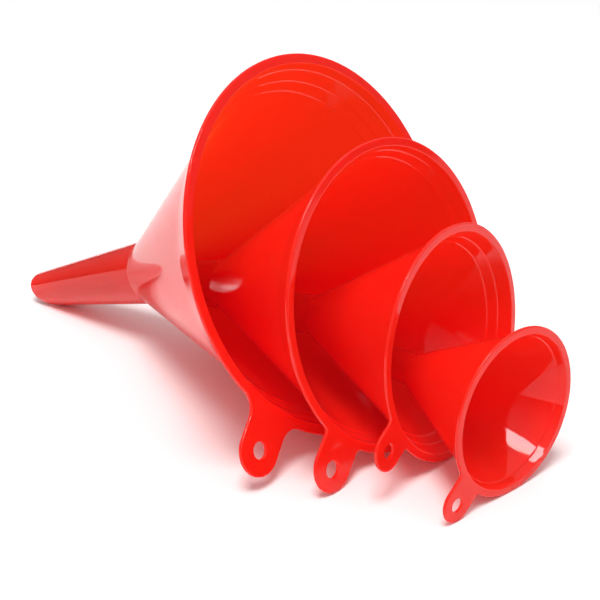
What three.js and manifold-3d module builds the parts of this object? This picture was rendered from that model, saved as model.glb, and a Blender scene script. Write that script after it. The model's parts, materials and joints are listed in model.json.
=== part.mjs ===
// Nested set of four one-piece plastic funnels lying on a table.
//
// Millimetres, +Z up, table at z = 0. The largest funnel's axis lies in the X-Z plane
// with its mouth towards +X, and each smaller funnel stands in the mouth of the one before.
//
// A funnel is drawn on its own axis first: +Y points out of the mouth, y = 0 is the front
// face of the lip, and "depth" is the distance behind that face.

import * as THREE from "three";
import { mergeVertices } from "three/addons/utils/BufferGeometryUtils.js";
import Module from "manifold-3d";

const manifoldLibrary = await Module();
manifoldLibrary.setup();

// ---------------------------------------------------------------- driving dimensions

const LIP_EDGE_ROUND = 0.4; // rounding of the lip's rim, both sides
const LIP_ROOT_FILLET = 0.4; // behind the lip, where it meets the wall
const LIP_INNER_SETBACK = 0.25; // small step just inside the mouth's edge
const LIP_INNER_DEPTH = 0.6;
const LEDGE_RUN = 0.35; // depth taken by one ledge
const FLARE_BEYOND_LEDGES = 5; // outside, the steeper stretch behind the lip runs this much further in
const THROAT_FILLET = 1.2; // fillet between cone and stem, along each of the two
const THROAT_LIFT = 0.35; // how far the fillet's corner stands off the stem
const BEVEL_ANGLE = 40; // slant of the outlet, degrees from square
const BEVEL_TURN = -90; // long side of the slanted outlet, degrees from the tab
const TAB_FILLET_STEPS = 5;
const TAB_END_STEPS = 14;
const HOLE_STEPS = 20;
const CUTTER_SIZE = 60; // block that cuts the slanted outlet
const MERGE_DISTANCE = 1e-4; // corners of a mesh nearer than this are one corner
const GLOSS_ROUGHNESS = 0.18;

// radii and depths in mm, angles in degrees
const LARGE = {
  name: "funnel_large",
  lipRadius: 60.0,
  lipThickness: 1.25,
  coneRadius: 57.4, // outside of the plain cone, carried on to the lip's front face
  coneSlope: 0.528, // radius lost per mm of depth
  wall: 1.35, // measured square to the axis
  ledgeDepths: [2.9, 7.1, 10.7],
  ledgeSteps: [0.3, 0.4, 0.5],
  neckDepth: 85.5,
  stemRadius: 11.95,
  stemSlope: 0.0755,
  stemWall: 1.1,
  outletDepth: 148.6, // middle of the slanted outlet
  tabAngle: 42.2, // below level, on the left when facing the mouth
  tabHalfWidth: 7.6,
  tabEnd: 79.1,
  tabRootFillet: 6.0,
  holeRadius: 2.6,
  holeCentre: 71.3,
  mouthX: 0,
  mouthY: 0,
  heading: 0, // of the mouth, about +Z from +X
  rise: 20.05, // of the mouth, above level
  colour: 0xd8140f,
  segments: 60,
};

const MEDIUM = {
  name: "funnel_medium",
  lipRadius: 47.7,
  lipThickness: 1.2,
  coneRadius: 45.95,
  coneSlope: 0.506,
  wall: 1.25,
  ledgeDepths: [2.35, 5.4],
  ledgeSteps: [0.35, 0.35],
  neckDepth: 72.0,
  stemRadius: 9.0,
  stemSlope: 0.072,
  stemWall: 1.05,
  outletDepth: 120.0,
  tabAngle: 45.8,
  tabHalfWidth: 7.7,
  tabEnd: 63.2,
  tabRootFillet: 2.0,
  holeRadius: 2.6,
  holeCentre: 56.4,
  mouthX: 27.67,
  mouthY: -2.55,
  heading: -2.2,
  rise: 12.2,
  colour: 0xd9150f,
  segments: 52,
};

const SMALL = {
  name: "funnel_small",
  lipRadius: 36.05,
  lipThickness: 1.1,
  coneRadius: 34.3,
  coneSlope: 0.522,
  wall: 1.2,
  ledgeDepths: [3.8, 6.7],
  ledgeSteps: [0.35, 0.35],
  neckDepth: 52.2,
  stemRadius: 6.8,
  stemSlope: 0.066,
  stemWall: 1.0,
  outletDepth: 87.0,
  tabAngle: 28.3,
  tabHalfWidth: 6.2,
  tabEnd: 47.6,
  tabRootFillet: 1.6,
  holeRadius: 2.2,
  holeCentre: 41.6,
  mouthX: 47.71,
  mouthY: 0.29,
  heading: 0.6,
  rise: 5.9,
  colour: 0xdb1610,
  segments: 44,
};

const MINI = {
  name: "funnel_mini",
  lipRadius: 25.4,
  lipThickness: 1.0,
  coneRadius: 24.2,
  coneSlope: 0.48,
  wall: 1.15,
  ledgeDepths: [2.3],
  ledgeSteps: [0.35],
  neckDepth: 39.0,
  stemRadius: 5.3,
  stemSlope: 0.06,
  stemWall: 0.95,
  outletDepth: 66.0,
  tabAngle: 39.5,
  tabHalfWidth: 5.5,
  tabEnd: 36.7,
  tabRootFillet: 1.4,
  holeRadius: 2.1,
  holeCentre: 31.5,
  mouthX: 74.3,
  mouthY: -8.84,
  heading: -8.9,
  rise: 1.8,
  colour: 0xdc1711,
  segments: 36,
};

const FUNNELS = [LARGE, MEDIUM, SMALL, MINI];

// ---------------------------------------------------------------- small helpers

const radians = THREE.MathUtils.degToRad;

function toSolid(geometry) {
  const bare = geometry.clone();
  bare.deleteAttribute("normal");
  bare.deleteAttribute("uv");
  const merged = mergeVertices(bare, MERGE_DISTANCE);
  return new manifoldLibrary.Manifold(
    new manifoldLibrary.Mesh({
      numProp: 3,
      vertProperties: new Float32Array(merged.attributes.position.array),
      triVerts: new Uint32Array(merged.index.array),
    })
  );
}

function toGeometry(solid) {
  const mesh = solid.getMesh();
  const geometry = new THREE.BufferGeometry();
  geometry.setAttribute("position", new THREE.BufferAttribute(mesh.vertProperties, 3));
  geometry.setIndex(new THREE.BufferAttribute(mesh.triVerts, 1));
  geometry.computeVertexNormals();
  return geometry;
}

// ---------------------------------------------------------------- one funnel

// Radius of one face of the cone's wall. Each ledge that lies further in than the given
// point adds its step, so the wall widens in small stairs towards the lip.
function coneSurface(f, depth, inset, ledgesPassed) {
  const stepsAhead = f.ledgeSteps.slice(ledgesPassed);
  const growth = stepsAhead.reduce((sum, step) => sum + step, 0);
  return f.coneRadius - inset - f.coneSlope * depth + growth;
}

function stemSurface(f, depth, inset) {
  return f.stemRadius - inset - f.stemSlope * (depth - f.neckDepth);
}

// The ledges are on the inside only.
function ledgePoints(f) {
  return f.ledgeDepths.flatMap((depth, i) => [
    [coneSurface(f, depth, f.wall, i), depth],
    [coneSurface(f, depth + LEDGE_RUN, f.wall, i + 1), depth + LEDGE_RUN],
  ]);
}

// The outside is smooth: one slightly steeper stretch behind the lip, which ends here.
function flareEnd(f) {
  const depth = f.ledgeDepths.at(-1) + FLARE_BEYOND_LEDGES;
  return [coneSurface(f, depth, 0, f.ledgeDepths.length), depth];
}

// Cone into stem, with a short fillet: one point on the cone, one in the corner, one on the stem.
function throatPoints(f, inset, stemInset) {
  const before = f.neckDepth - THROAT_FILLET;
  const after = f.neckDepth + THROAT_FILLET;
  const corner = stemSurface(f, f.neckDepth, stemInset) + THROAT_FILLET * f.coneSlope * THROAT_LIFT;
  return [
    [coneSurface(f, before, inset, f.ledgeDepths.length), before],
    [corner, f.neckDepth],
    [stemSurface(f, after, stemInset), after],
  ];
}

// Closed outline of the turned body as [radius, depth]: down the inside from the lip's front
// face to beyond the outlet, then back up the outside.
function turnedOutline(f) {
  const stemEnd = f.outletDepth + f.stemRadius;
  const innerLip = coneSurface(f, 0, f.wall, 0);
  const inside = [
    [innerLip - LIP_INNER_SETBACK, 0],
    [coneSurface(f, LIP_INNER_DEPTH, f.wall, 0) - LIP_INNER_SETBACK, LIP_INNER_DEPTH],
    ...ledgePoints(f),
    ...throatPoints(f, f.wall, f.stemWall),
    [stemSurface(f, stemEnd, f.stemWall), stemEnd],
  ];
  const lipBack = f.lipThickness;
  const outside = [
    [f.lipRadius - LIP_EDGE_ROUND, 0],
    [f.lipRadius, LIP_EDGE_ROUND],
    [f.lipRadius, lipBack - LIP_EDGE_ROUND],
    [f.lipRadius - LIP_EDGE_ROUND, lipBack],
    [coneSurface(f, lipBack, -LIP_ROOT_FILLET, 0), lipBack],
    [coneSurface(f, lipBack + LIP_ROOT_FILLET, 0, 0), lipBack + LIP_ROOT_FILLET],
    flareEnd(f),
    ...throatPoints(f, 0, 0),
    [stemSurface(f, stemEnd, 0), stemEnd],
  ];
  return [...inside, ...outside.reverse(), inside[0]];
}

function turnedBody(f) {
  const profile = turnedOutline(f).map(([radius, depth]) => new THREE.Vector2(radius, -depth));
  return toSolid(new THREE.LatheGeometry(profile, f.segments));
}

// Flat tab in the plane of the lip, drawn pointing along +X and then turned to its place.
function tabOutline(f) {
  const half = f.tabHalfWidth;
  const fillet = f.tabRootFillet;
  const endCentre = f.tabEnd - half;
  const rootRadius = (f.lipRadius + f.coneRadius) / 2;
  const filletCentreY = half + fillet;
  const filletCentreX = Math.sqrt((f.lipRadius + fillet) ** 2 - filletCentreY ** 2);
  const startAngle = Math.atan2(-filletCentreY, -filletCentreX) + 2 * Math.PI;
  const side = [];
  for (let i = 0; i <= TAB_FILLET_STEPS; i += 1) {
    const angle = startAngle + ((1.5 * Math.PI - startAngle) * i) / TAB_FILLET_STEPS;
    side.push([filletCentreX + fillet * Math.cos(angle), filletCentreY + fillet * Math.sin(angle)]);
  }
  const rootAngle = Math.atan2(filletCentreY, filletCentreX);
  const root = [rootRadius * Math.cos(rootAngle), rootRadius * Math.sin(rootAngle)];
  const end = [];
  for (let i = 1; i < TAB_END_STEPS; i += 1) {
    const angle = Math.PI / 2 - (Math.PI * i) / TAB_END_STEPS;
    end.push([endCentre + half * Math.cos(angle), half * Math.sin(angle)]);
  }
  const upper = [root, ...side, [endCentre, half]];
  const lower = upper.map(([x, y]) => [x, -y]).reverse();
  const rootMiddle = [[rootRadius, 0]];
  return [...upper, ...end, ...lower, ...rootMiddle];
}

function tabBody(f) {
  const shape = new THREE.Shape(tabOutline(f).map(([x, y]) => new THREE.Vector2(x, y)));
  const hole = [];
  for (let i = 0; i < HOLE_STEPS; i += 1) {
    const angle = (2 * Math.PI * i) / HOLE_STEPS;
    const x = f.holeCentre + f.holeRadius * Math.cos(angle);
    hole.push(new THREE.Vector2(x, f.holeRadius * Math.sin(angle)));
  }
  shape.holes.push(new THREE.Path(hole));
  const plate = new THREE.ExtrudeGeometry(shape, {
    depth: f.lipThickness,
    bevelEnabled: false,
  });
  plate.rotateX(Math.PI / 2); // plate now spans y = -thickness .. 0
  plate.rotateY(tabTurn(f));
  return toSolid(plate);
}

// Turn about the funnel's own axis that brings +X to the tab's direction.
function tabTurn(f) {
  return Math.PI + radians(f.tabAngle);
}

// Everything beyond the slanted outlet.
function outletCutter(f) {
  const block = new THREE.BoxGeometry(CUTTER_SIZE, CUTTER_SIZE, CUTTER_SIZE);
  block.translate(0, -CUTTER_SIZE / 2, 0);
  block.rotateZ(-radians(BEVEL_ANGLE));
  block.rotateY(tabTurn(f) + radians(BEVEL_TURN));
  block.translate(0, -f.outletDepth, 0);
  return toSolid(block);
}

// Stands a funnel on the table with its mouth turned and raised, its lip's lowest point at z = 0.
function place(mesh, f) {
  const heading = radians(f.heading);
  const rise = radians(f.rise);
  const out = new THREE.Vector3(
    Math.cos(heading) * Math.cos(rise),
    Math.sin(heading) * Math.cos(rise),
    Math.sin(rise)
  );
  const right = new THREE.Vector3(-Math.sin(heading), Math.cos(heading), 0);
  const down = new THREE.Vector3().crossVectors(right, out);
  const lipBack = f.lipThickness - LIP_EDGE_ROUND;
  const height = f.lipRadius * Math.cos(rise) + lipBack * Math.sin(rise);
  mesh.quaternion.setFromRotationMatrix(new THREE.Matrix4().makeBasis(right, out, down));
  mesh.position.set(f.mouthX, f.mouthY, height);
}

function buildFunnel(f) {
  const solid = turnedBody(f).add(tabBody(f)).subtract(outletCutter(f));
  const material = new THREE.MeshStandardMaterial({
    name: f.name,
    color: f.colour,
    roughness: GLOSS_ROUGHNESS,
    metalness: 0,
  });
  const mesh = new THREE.Mesh(toGeometry(solid), material);
  mesh.name = f.name;
  place(mesh, f);
  return mesh;
}

// ---------------------------------------------------------------- the set

const group = new THREE.Group();
group.name = "nested_funnel_set";
group.add(...FUNNELS.map(buildFunnel));

// Centre the set over the origin, standing on z = 0.
const box = new THREE.Box3().setFromObject(group, true);
group.position.set(-(box.min.x + box.max.x) / 2, -(box.min.y + box.max.y) / 2, -box.min.z);

export default group;
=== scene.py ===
"""Looks of a nested set of four glossy red moulded funnels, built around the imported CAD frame.

Each funnel is one fine closed mesh that stands for its CAD node. Its sizes are in millimetres on
its own axes: X to the right and Z down in the plane of the lip, Y out of the mouth. "Depth" is the
distance behind the front face of the lip. The place of each funnel comes from the frame's mounts.
"""

import json
import math

import bmesh
import bpy
from mathutils import Matrix, Vector
from mathutils.geometry import delaunay_2d_cdt


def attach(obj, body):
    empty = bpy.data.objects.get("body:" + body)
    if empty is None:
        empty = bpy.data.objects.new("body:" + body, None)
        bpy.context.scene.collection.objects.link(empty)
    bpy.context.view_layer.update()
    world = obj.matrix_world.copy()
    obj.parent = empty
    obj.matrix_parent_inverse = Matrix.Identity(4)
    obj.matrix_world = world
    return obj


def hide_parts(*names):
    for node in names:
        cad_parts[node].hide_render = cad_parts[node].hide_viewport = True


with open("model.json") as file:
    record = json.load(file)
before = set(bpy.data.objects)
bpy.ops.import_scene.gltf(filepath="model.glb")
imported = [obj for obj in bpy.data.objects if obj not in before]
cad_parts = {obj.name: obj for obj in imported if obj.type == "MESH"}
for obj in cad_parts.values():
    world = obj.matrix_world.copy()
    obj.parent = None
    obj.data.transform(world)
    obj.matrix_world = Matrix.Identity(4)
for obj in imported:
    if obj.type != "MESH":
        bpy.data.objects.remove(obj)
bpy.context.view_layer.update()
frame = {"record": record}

MM = 0.001
INSIDE_CONSTRAINTS = 1  # delaunay_2d_cdt: only the triangles inside the given edges
CDT_EPSILON = 1e-7

# ---------------------------------------------------------------- driving sizes, in mm

ROUND_STEPS = 5  # faces across a small rounded edge
EDGE_ROUND = 0.4  # rounding of the lip's and the tab's edges
FLAT_MARGIN = 0.15  # narrow flat band beside a rounded edge, which keeps the flat face flat
HOLE_ROUND = 0.25
MOUTH_ROUND = 0.2
OUTLET_ROUND = 0.2
LIP_ROOT_FILLET = 0.4
LIP_INNER_SETBACK = 0.25  # small step just inside the mouth's edge
LIP_INNER_DEPTH = 0.6
LEDGE_RUN = 0.3  # depth taken by one ledge
LEDGE_STEP = 0.22  # sharp part of a ledge; the rest of its step is spread over the stretch before it
LEDGE_FILLET = 0.1  # rounding of both corners of a ledge
FLARE_BEYOND_LEDGES = 5.0  # outside, the steeper stretch behind the lip runs this much further in
FLARE_FILLET = 60.0  # so large that the change of slope doesn't show as a line
THROAT_FILLET = 1.5
OUTLET_SLANT = math.radians(40)  # from square to the stem
RING_SPACING = 5.0  # longest face along the cone and the stem
HOLE_POINTS = 48
TAB_END_POINTS = 40
TAB_FILLET_POINTS = 14

FUNNELS = {
    "funnel_large": dict(
        body="large", mount="hang_tab_large", slot="red_plastic_large",
        lip_radius=60.0, lip_thickness=1.25, cone_radius=57.4, cone_slope=0.528, wall=1.35,
        ledges=[(2.9, 0.3), (7.1, 0.4), (10.7, 0.5)], neck_depth=85.5,
        stem_radius=11.95, stem_slope=0.0755, stem_wall=1.1, outlet_depth=148.6,
        tab_angle=42.2, tab_half_width=7.6, tab_end=79.1, tab_root_fillet=6.0,
        hole_radius=2.6, hole_centre=71.3, segments=240,
    ),
    "funnel_medium": dict(
        body="medium", mount="hang_tab_medium", slot="red_plastic_medium",
        lip_radius=47.7, lip_thickness=1.2, cone_radius=45.95, cone_slope=0.506, wall=1.25,
        ledges=[(2.35, 0.35), (5.4, 0.35)], neck_depth=72.0,
        stem_radius=9.0, stem_slope=0.072, stem_wall=1.05, outlet_depth=120.0,
        tab_angle=45.8, tab_half_width=7.7, tab_end=63.2, tab_root_fillet=2.0,
        hole_radius=2.6, hole_centre=56.4, segments=216,
    ),
    "funnel_small": dict(
        body="small", mount="hang_tab_small", slot="red_plastic_small",
        lip_radius=36.05, lip_thickness=1.1, cone_radius=34.3, cone_slope=0.522, wall=1.2,
        ledges=[(3.8, 0.35), (6.7, 0.35)], neck_depth=52.2,
        stem_radius=6.8, stem_slope=0.066, stem_wall=1.0, outlet_depth=87.0,
        tab_angle=28.3, tab_half_width=6.2, tab_end=47.6, tab_root_fillet=1.6,
        hole_radius=2.2, hole_centre=41.6, segments=192,
    ),
    "funnel_mini": dict(
        body="mini", mount="hang_tab_mini", slot="red_plastic_mini",
        lip_radius=25.4, lip_thickness=1.0, cone_radius=24.2, cone_slope=0.48, wall=1.15,
        ledges=[(2.3, 0.35)], neck_depth=39.0,
        stem_radius=5.3, stem_slope=0.06, stem_wall=0.95, outlet_depth=66.0,
        tab_angle=39.5, tab_half_width=5.5, tab_end=36.7, tab_root_fillet=1.4,
        hole_radius=2.1, hole_centre=31.5, segments=160,
    ),
}


# ---------------------------------------------------------------- driving values of the looks

OWN_PLACE = "own_place"  # mesh attribute: the point on the funnel's own axes, in mm
PAINTED_GLOW_SHARE = "painted_glow_share"  # mesh attribute: how much of the painted glow a point gets

PLASTIC_DEEP = (0.92, 0.011, 0.005, 1)
PLASTIC_PALE = (0.97, 0.021, 0.008, 1)
PLASTIC_IOR = 1.40
PLASTIC_SCATTER = (0.006, 0.0012, 0.0008)  # how far red, green and blue light goes, in metres
# faint bluish-green painted glow on every face of the plastic, standing in for a slight flare of light
PAINTED_GLOW_BASE = (0.0, 0.001, 0.002, 1)
PAINTED_GLOW_BEHIND = (0.12, 0.018, 0.004, 1)  # painted glow: emission that stands in for light coming down through the wall of the cone
GLOW_TURN = 0.25  # height of the face's normal over which the painted glow fades
# share of the painted glow on the inside of each funnel's cone
PAINTED_GLOW_SHARES = {"funnel_large": 1.0, "funnel_medium": 0.4, "funnel_small": 0.3, "funnel_mini": 0.1}

FLOW_STRETCH = 0.02  # flow marks run along the wall, so depth counts for little
FLOW_SCALE = 9.0
FLOW_DETAIL = 4.0
CLOUD_SCALE = 0.09  # about 11 mm across
CLOUD_DETAIL = 3.0
SCUFF_SCALE = 1.3
SCUFF_DETAIL = 6.0
SCUFF_SHARPNESS = 4.0  # power that leaves only the strongest scuffs
SCUFF_ROUGHNESS = 0.3
ROUGHNESS_LOW = 0.015
ROUGHNESS_HIGH = 0.035
FLOW_HEIGHT = 0.3  # of the flow marks, as a share of the cloud's height
WAVE_HEIGHT = 0.00001  # of the cloud, in metres

WHITE = (1, 1, 1, 1)
RED_LIGHT_BOUNCES = 12  # deep inside the cones red light is passed on many times
FLOOR_REACH = 3.0  # from the centre to each side, in metres
FLOOR_ALBEDO = 0.94
FLOOR_ROUGHNESS = 0.9
SOFTBOX_AZIMUTH = math.radians(-62)
SOFTBOX_ELEVATION = math.radians(71.5)
SOFTBOX_DISTANCE = 3.0
SOFTBOX_SIZE = 1.15
SOFTBOX_RADIANCE = 15.5
SKY_AT_HORIZON = 0.1
SKY_AT_ZENITH = 0.85

CAMERA_PLACE = (0.2489, -0.2766, 0.1843)
CAMERA_TURN = (math.radians(67.23), 0, math.radians(39.3))
CAMERA_LENS = 71.1
CAMERA_SENSOR = 36.0


# ---------------------------------------------------------------- profile of the turned body

def cone_surface(f, depth, inset, ledges_passed):
    """Radius of one face of the wall; ledges further in than this point widen it."""
    growth = sum(step for _, step in f["ledges"][ledges_passed:])
    return f["cone_radius"] - inset - f["cone_slope"] * depth + growth


def stem_surface(f, depth, inset):
    return f["stem_radius"] - inset - f["stem_slope"] * (depth - f["neck_depth"])


def throat_corner(f, inset, stem_inset):
    """Where the line of the cone meets the line of the stem."""
    gap = cone_surface(f, 0, inset, len(f["ledges"])) - stem_surface(f, 0, stem_inset)
    depth = gap / (f["cone_slope"] - f["stem_slope"])
    return stem_surface(f, depth, stem_inset), depth


def ledge_corners(f):
    """The ledges are on the inside only."""
    corners = []
    for i, (depth, _) in enumerate(f["ledges"]):
        after = depth + LEDGE_RUN
        corners.append((cone_surface(f, depth, f["wall"], i + 1) + LEDGE_STEP, depth, LEDGE_FILLET))
        corners.append((cone_surface(f, after, f["wall"], i + 1), after, LEDGE_FILLET))
    return corners


def flare_end(f):
    """Where the steeper outer stretch behind the lip runs out into the plain cone."""
    depth = f["ledges"][-1][0] + FLARE_BEYOND_LEDGES
    return cone_surface(f, depth, 0, len(f["ledges"])), depth


def round_corners(corners):
    """Turns (radius, depth, fillet) corners into a line of points, each fillet as an arc."""
    points = [Vector(corners[0][:2])]
    for before, corner, after in zip(corners, corners[1:], corners[2:]):
        here = Vector(corner[:2])
        fillet = corner[2]
        back = (Vector(before[:2]) - here).normalized()
        ahead = (Vector(after[:2]) - here).normalized()
        half = back.angle(ahead) / 2
        reach = fillet / math.tan(half)
        centre = here + (back + ahead).normalized() * fillet / math.sin(half)
        start = (here + back * reach - centre).normalized()
        end = (here + ahead * reach - centre).normalized()
        for k in range(ROUND_STEPS + 1):
            points.append(centre + fillet * start.slerp(end, k / ROUND_STEPS))
    points.append(Vector(corners[-1][:2]))
    return points


def split_long_steps(points):
    """Adds points so that no step along the profile is longer than RING_SPACING."""
    result = [points[0]]
    for a, b in zip(points, points[1:]):
        parts = max(1, math.ceil((b - a).length / RING_SPACING))
        result += [a.lerp(b, k / parts) for k in range(1, parts + 1)]
    return result


def inner_profile(f):
    """From the lip's front face, down the inside of the cone, to just past the throat."""
    mouth = cone_surface(f, 0, f["wall"], 0) - LIP_INNER_SETBACK
    below_mouth = cone_surface(f, LIP_INNER_DEPTH, f["wall"], 0) - LIP_INNER_SETBACK
    throat = throat_corner(f, f["wall"], f["stem_wall"])
    past = throat[1] + THROAT_FILLET
    return split_long_steps(round_corners([
        (mouth + MOUTH_ROUND + FLAT_MARGIN, 0, 0),
        (mouth, 0, MOUTH_ROUND),
        (below_mouth, LIP_INNER_DEPTH, MOUTH_ROUND),
        *ledge_corners(f),
        (*throat, THROAT_FILLET),
        (stem_surface(f, past, f["stem_wall"]), past, 0),
    ]))


def outer_profile(f):
    """From the lip's back face, down the outside of the cone, to just past the throat."""
    back = f["lip_thickness"]
    root = cone_surface(f, back, 0, 0)
    throat = throat_corner(f, 0, 0)
    past = throat[1] + THROAT_FILLET
    return split_long_steps(round_corners([
        (root + LIP_ROOT_FILLET + FLAT_MARGIN, back, 0),
        (root, back, LIP_ROOT_FILLET),
        (*flare_end(f), FLARE_FILLET),
        (*throat, THROAT_FILLET),
        (stem_surface(f, past, 0), past, 0),
    ]))


# ---------------------------------------------------------------- outline of the lip with its tab

def tab_direction(f):
    """Angle of the tab in the plane of the lip, from X towards Z."""
    return math.pi - math.radians(f["tab_angle"])


def arc(centre, radius, start, end, count, outward=1):
    """Points with their outward normals along an arc."""
    points = []
    for k in range(count + 1):
        angle = start + (end - start) * k / count
        way = Vector((math.cos(angle), math.sin(angle)))
        points.append((Vector(centre) + radius * way, outward * way))
    return points


def lip_outline(f):
    """Closed line round the lip and the tab, as (point, outward normal)."""
    half = f["tab_half_width"]
    fillet = f["tab_root_fillet"]
    centre_y = half + fillet
    centre_x = math.sqrt((f["lip_radius"] + fillet) ** 2 - centre_y ** 2)
    root_angle = math.atan2(centre_y, centre_x)
    end_x = f["tab_end"] - half
    tab_end = arc((end_x, 0), half, -math.pi / 2, math.pi / 2, TAB_END_POINTS)
    upper = arc(
        (centre_x, centre_y), fillet, 1.5 * math.pi, math.pi + root_angle, TAB_FILLET_POINTS,
        outward=-1,
    )
    lower = [(Vector((p.x, -p.y)), Vector((n.x, -n.y))) for p, n in reversed(upper)]
    rim = arc((0, 0), f["lip_radius"], root_angle, 2 * math.pi - root_angle, f["segments"])
    line = tab_end + upper + rim[1:-1] + lower
    turn = Matrix.Rotation(tab_direction(f), 2)
    return [(turn @ p, turn @ n) for p, n in line]


def edge_round(thickness, radius):
    """(inset, depth) steps over a rounded edge, from the front face to the back one."""
    steps = [(radius + FLAT_MARGIN, 0)]
    for k in range(ROUND_STEPS + 1):
        turn = math.pi / 2 * k / ROUND_STEPS
        steps.append((radius * (1 - math.sin(turn)), radius * (1 - math.cos(turn))))
    return steps + [(inset, thickness - depth) for inset, depth in reversed(steps)]


# ---------------------------------------------------------------- mesh of one funnel

class FunnelMesh:
    """Builds one funnel as loops of vertices joined by faces."""

    def __init__(self, f):
        self.f = f
        self.bm = bmesh.new()
        self.angles = [2 * math.pi * i / f["segments"] for i in range(f["segments"])]
        self.inner_count = 0  # vertices of the inside of the cone, which come first

    def vertex(self, x, z, depth):
        return self.bm.verts.new((x, -depth, z))

    def around(self, angle, radius, depth):
        """A vertex at an angle and a radius about the funnel's axis."""
        return self.vertex(radius * math.cos(angle), radius * math.sin(angle), depth)

    def ring(self, radius, depth):
        return [self.around(angle, radius, depth) for angle in self.angles]

    def bridge(self, loops):
        """Quads between each loop and the next."""
        for a, b in zip(loops, loops[1:]):
            for i in range(len(a)):
                j = (i + 1) % len(a)
                self.bm.faces.new((a[i], a[j], b[j], b[i]))

    def fill_flat(self, outer, *inner):
        """Triangles over the flat region between an outer loop and the loops inside it."""
        loops = [outer, *inner]
        verts = [v for loop in loops for v in loop]
        owner = [number for number, loop in enumerate(loops) for _ in loop]
        edges = []
        start = 0
        for loop in loops:
            edges += [(start + i, start + (i + 1) % len(loop)) for i in range(len(loop))]
            start += len(loop)
        points = [Vector((v.co.x, v.co.z)) for v in verts]
        result = delaunay_2d_cdt(points, edges, [], INSIDE_CONSTRAINTS, CDT_EPSILON)
        faces, origins = result[2:4]
        for face in faces:
            corners = [origins[i][0] for i in face]
            owners = {owner[i] for i in corners}
            across_a_hole = len(owners) == 1 and 0 not in owners
            if not across_a_hole:
                self.bm.faces.new([verts[i] for i in corners])

    def outlet_depth(self, angle, radius):
        """Depth of the slanted outlet; its long side is a quarter turn from the tab."""
        long_side = tab_direction(self.f) + math.pi / 2
        return self.f["outlet_depth"] + math.tan(OUTLET_SLANT) * radius * math.cos(angle - long_side)

    def stem_loops(self, start, inset):
        """Loops from the end of a throat to the slanted outlet's edge."""
        f = self.f
        radius_at_lip = stem_surface(f, 0, inset)  # of the stem's line, carried on to the lip
        ends = []
        for angle in self.angles:
            lean = self.outlet_depth(angle, 1) - f["outlet_depth"]
            # where the line of the tapered wall meets the slant
            ends.append((f["outlet_depth"] + lean * radius_at_lip) / (1 + lean * f["stem_slope"]))
        count = math.ceil((f["outlet_depth"] - start) / RING_SPACING)
        loops = []
        for k in range(1, count + 1):
            loop = []
            for angle, end in zip(self.angles, ends):
                depth = start + (end - OUTLET_ROUND - start) * (k / count)
                loop.append(self.around(angle, stem_surface(f, depth, inset), depth))
            loops.append(loop)
        return loops

    def outlet_rim(self, inset):
        """Rounded edges of the slanted outlet, from the inside wall to the outside one."""
        f = self.f
        outer = stem_surface(f, f["outlet_depth"], 0)
        inner = outer - inset
        steps = []
        for k in range(1, ROUND_STEPS + 1):
            turn = math.pi / 2 * k / ROUND_STEPS
            radius = inner + OUTLET_ROUND * (1 - math.cos(turn))
            steps.append((radius, OUTLET_ROUND * (1 - math.sin(turn))))
        steps += [(inner + outer - radius, back) for radius, back in reversed(steps)]
        loops = []
        for radius, back in steps:
            loop = []
            for angle in self.angles:
                depth = self.outlet_depth(angle, radius) - back
                tapered = radius - f["stem_slope"] * (depth - f["outlet_depth"])
                loop.append(self.around(angle, tapered, depth))
            loops.append(loop)
        return loops

    def build(self):
        f = self.f
        inner = inner_profile(f)
        outer = outer_profile(f)
        inside = [self.ring(radius, depth) for radius, depth in inner]
        self.inner_count = len(self.bm.verts)
        outside = [self.ring(radius, depth) for radius, depth in outer]
        stem_inside = self.stem_loops(inner[-1][1], f["stem_wall"])
        stem_outside = self.stem_loops(outer[-1][1], 0)
        rim = self.outlet_rim(f["stem_wall"])
        self.bridge(inside + stem_inside + rim + stem_outside[::-1] + outside[::-1])

        outline = lip_outline(f)
        edge = [
            [self.vertex(*(point - normal * inset), depth) for point, normal in outline]
            for inset, depth in edge_round(f["lip_thickness"], EDGE_ROUND)
        ]
        self.bridge(edge)

        direction = tab_direction(f)
        hole_x = f["hole_centre"] * math.cos(direction)
        hole_z = f["hole_centre"] * math.sin(direction)
        hole = []
        for inset, depth in edge_round(f["lip_thickness"], HOLE_ROUND):
            circle = arc((hole_x, hole_z), f["hole_radius"] + inset, 0, 2 * math.pi, HOLE_POINTS)
            hole.append([self.vertex(*point, depth) for point, _ in circle[:-1]])
        self.bridge(hole)

        self.fill_flat(edge[0], inside[0], hole[0])
        self.fill_flat(edge[-1], outside[0], hole[-1])
        bmesh.ops.recalc_face_normals(self.bm, faces=self.bm.faces)
        return self.bm


def funnel_matrix(f):
    """Own axes of a funnel in the frame, worked out from the mount on its tab."""
    mount = next(m for m in frame["record"]["mounts"] if m["name"] == f["mount"])
    out = Vector(mount["axis"]).normalized()
    right = Vector((0, 0, 1)).cross(out).normalized()
    down = right.cross(out)
    direction = tab_direction(f)
    tab = math.cos(direction) * right + math.sin(direction) * down
    mount_radius = (f["lip_radius"] + f["hole_centre"] - f["hole_radius"]) / 2  # lip to hole, halfway
    centre = Vector(mount["pos_m"]) - mount_radius * MM * tab
    axes = Matrix((right, out, down)).transposed().to_4x4()
    return Matrix.Translation(centre) @ axes @ Matrix.Scale(MM, 4)


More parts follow.
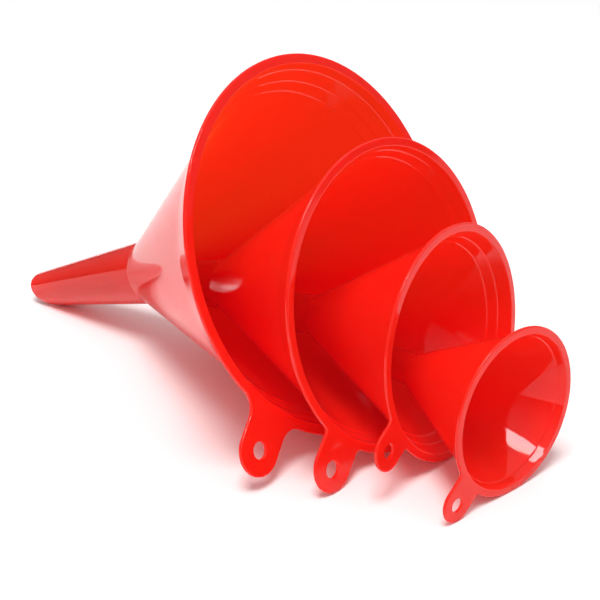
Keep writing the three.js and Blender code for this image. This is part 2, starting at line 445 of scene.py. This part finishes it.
def build_funnel(name, f, material):
    form = FunnelMesh(f)
    bm = form.build()
    other_count = len(bm.verts) - form.inner_count
    # only the inside of the cone gets the painted glow
    shares = [PAINTED_GLOW_SHARES[name]] * form.inner_count + [0.0] * other_count
    own_places = [coordinate for v in bm.verts for coordinate in v.co]
    bm.transform(funnel_matrix(f))
    mesh = bpy.data.meshes.new(name + "_fine")
    bm.to_mesh(mesh)
    bm.free()
    own = mesh.attributes.new(OWN_PLACE, "FLOAT_VECTOR", "POINT")
    own.data.foreach_set("vector", own_places)
    behind = mesh.attributes.new(PAINTED_GLOW_SHARE, "FLOAT", "POINT")
    behind.data.foreach_set("value", shares)
    mesh.shade_smooth()
    mesh.materials.append(material)
    piece = bpy.data.objects.new(name + "_fine", mesh)
    bpy.context.scene.collection.objects.link(piece)
    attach(piece, f["body"])
    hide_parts(name)
    return piece


# ---------------------------------------------------------------- material

class NodeTree:
    """Adds shader nodes and joins them, one short line for each."""

    def __init__(self, tree):
        self.tree = tree

    def node(self, kind, settings=None, **inputs):
        """A node with its settings and inputs; an input is a value or another node's output."""
        node = self.tree.nodes.new(kind)
        for name, value in (settings or {}).items():
            setattr(node, name, value)
        for name, value in inputs.items():
            self.put(node.inputs[name.replace("_", " ")], value)
        return node

    def put(self, socket, value):
        if isinstance(value, bpy.types.NodeSocket):
            self.tree.links.new(value, socket)
        else:
            socket.default_value = value

    def math(self, operation, *values):
        node = self.tree.nodes.new("ShaderNodeMath")
        node.operation = operation
        for socket, value in zip(node.inputs, values):
            self.put(socket, value)
        return node.outputs[0]

    def span(self, value, low, high):
        """Brings a value in 0..1 to low..high."""
        return self.node("ShaderNodeMapRange", Value=value, To_Min=low, To_Max=high).outputs[0]

    def noise(self, place, scale, detail):
        return self.node("ShaderNodeTexNoise", Vector=place, Scale=scale, Detail=detail).outputs["Fac"]


def red_plastic():
    """Glossy moulded plastic that red light passes through, with faint flow marks and scuffs, and
    painted glow: faint everywhere, stronger on the inside of the cone where it faces down.
    """
    material = bpy.data.materials.new("red_plastic")
    material.use_nodes = True
    tree = NodeTree(material.node_tree)
    shader = material.node_tree.nodes["Principled BSDF"]
    own = tree.node("ShaderNodeAttribute", {"attribute_name": OWN_PLACE}).outputs["Vector"]
    x, y, z = tree.node("ShaderNodeSeparateXYZ", Vector=own).outputs
    squares = tree.math("ADD", tree.math("MULTIPLY", x, x), tree.math("MULTIPLY", z, z))
    radius = tree.math("SQRT", squares)
    along = tree.node(
        "ShaderNodeCombineXYZ",
        X=tree.math("DIVIDE", x, radius),
        Y=tree.math("DIVIDE", z, radius),
        Z=tree.math("MULTIPLY", y, FLOW_STRETCH),
    ).outputs[0]
    flow = tree.noise(along, FLOW_SCALE, FLOW_DETAIL)
    cloud = tree.noise(own, CLOUD_SCALE, CLOUD_DETAIL)
    scuff = tree.noise(own, SCUFF_SCALE, SCUFF_DETAIL)

    mean = tree.math("MULTIPLY", tree.math("ADD", flow, cloud), 0.5)
    tint = tree.node("ShaderNodeMix", {"data_type": "RGBA"})
    tree.put(tint.inputs["Factor"], mean)
    tree.put(tint.inputs["A"], PLASTIC_DEEP)
    tree.put(tint.inputs["B"], PLASTIC_PALE)
    tree.put(shader.inputs["Base Color"], tint.outputs["Result"])

    haze = tree.math("MULTIPLY", tree.math("POWER", scuff, SCUFF_SHARPNESS), SCUFF_ROUGHNESS)
    gloss = tree.math("ADD", tree.span(cloud, ROUGHNESS_LOW, ROUGHNESS_HIGH), haze)
    tree.put(shader.inputs["Roughness"], gloss)
    waves = tree.math("ADD", cloud, tree.math("MULTIPLY", flow, FLOW_HEIGHT))
    bump = tree.node("ShaderNodeBump", Strength=1.0, Distance=WAVE_HEIGHT, Height=waves)
    tree.put(shader.inputs["Normal"], bump.outputs["Normal"])

    # Painted glow: emission on faces whose normal points down, standing in for softbox light that
    # comes down through the wall above them.
    facing = tree.node("ShaderNodeNewGeometry").outputs["Normal"]
    upward = tree.node("ShaderNodeSeparateXYZ", Vector=facing).outputs["Z"]
    lit_behind = tree.node("ShaderNodeMapRange", Value=upward, From_Min=GLOW_TURN, From_Max=-GLOW_TURN)
    share = tree.node("ShaderNodeAttribute", {"attribute_name": PAINTED_GLOW_SHARE}).outputs["Fac"]
    glow = tree.node("ShaderNodeMix", {"data_type": "RGBA"})
    tree.put(glow.inputs["Factor"], tree.math("MULTIPLY", lit_behind.outputs[0], share))
    tree.put(glow.inputs["A"], PAINTED_GLOW_BASE)
    tree.put(glow.inputs["B"], PAINTED_GLOW_BEHIND)
    tree.put(shader.inputs["Emission Color"], glow.outputs["Result"])
    shader.inputs["Emission Strength"].default_value = 1.0

    shader.inputs["IOR"].default_value = PLASTIC_IOR
    shader.inputs["Subsurface Weight"].default_value = 1.0
    shader.inputs["Subsurface Radius"].default_value = PLASTIC_SCATTER
    shader.inputs["Subsurface Scale"].default_value = 1.0
    return material


# ---------------------------------------------------------------- stage, light and camera

def add_floor():
    mesh = bpy.data.meshes.new("floor")
    signs = [(-1, -1), (1, -1), (1, 1), (-1, 1)]
    corners = [(x * FLOOR_REACH, y * FLOOR_REACH, 0) for x, y in signs]
    mesh.from_pydata(corners, [], [(0, 1, 2, 3)])
    material = bpy.data.materials.new("floor_white")
    material.use_nodes = True
    shader = material.node_tree.nodes["Principled BSDF"]
    shader.inputs["Base Color"].default_value = (FLOOR_ALBEDO, FLOOR_ALBEDO, FLOOR_ALBEDO, 1)
    shader.inputs["Roughness"].default_value = FLOOR_ROUGHNESS
    shader.inputs["Specular IOR Level"].default_value = 0.0
    mesh.materials.append(material)
    floor = bpy.data.objects.new("floor", mesh)
    bpy.context.scene.collection.objects.link(floor)


def add_softbox():
    """A square white light that faces the set."""
    light = bpy.data.lights.new("softbox", "AREA")
    light.shape = "SQUARE"
    light.size = SOFTBOX_SIZE
    light.energy = SOFTBOX_RADIANCE * math.pi * SOFTBOX_SIZE ** 2
    lamp = bpy.data.objects.new("softbox", light)
    way = Vector((
        math.cos(SOFTBOX_AZIMUTH) * math.cos(SOFTBOX_ELEVATION),
        math.sin(SOFTBOX_AZIMUTH) * math.cos(SOFTBOX_ELEVATION),
        math.sin(SOFTBOX_ELEVATION),
    ))
    lamp.location = way * SOFTBOX_DISTANCE
    lamp.rotation_euler = way.to_track_quat("Z", "Y").to_euler()
    bpy.context.scene.collection.objects.link(lamp)


def add_world():
    """A soft sky for light and reflections, which the camera itself sees as plain white."""
    world = bpy.data.worlds.new("studio")
    world.use_nodes = True
    tree = NodeTree(world.node_tree)
    way = tree.node("ShaderNodeTexCoord").outputs["Generated"]
    height = tree.node("ShaderNodeSeparateXYZ", Vector=way).outputs["Z"]
    background = world.node_tree.nodes["Background"]
    background.inputs["Color"].default_value = WHITE
    sky = tree.span(height, SKY_AT_HORIZON, SKY_AT_ZENITH)
    seen_directly = tree.node("ShaderNodeLightPath").outputs["Is Camera Ray"]
    tree.put(background.inputs["Strength"], tree.math("MAXIMUM", sky, seen_directly))
    bpy.context.scene.world = world


def add_camera():
    data = bpy.data.cameras.new("camera")
    data.sensor_width = CAMERA_SENSOR
    data.lens = CAMERA_LENS
    camera = bpy.data.objects.new("camera", data)
    camera.location = CAMERA_PLACE
    camera.rotation_euler = CAMERA_TURN
    bpy.context.scene.collection.objects.link(camera)
    bpy.context.scene.camera = camera


# ---------------------------------------------------------------- the scene

plastic = red_plastic()
for funnel_name, funnel in FUNNELS.items():
    build_funnel(funnel_name, funnel, plastic)
add_floor()
add_softbox()
add_world()
add_camera()
bpy.context.scene.view_settings.view_transform = "Standard"
bpy.context.scene.cycles.diffuse_bounces = RED_LIGHT_BOUNCES
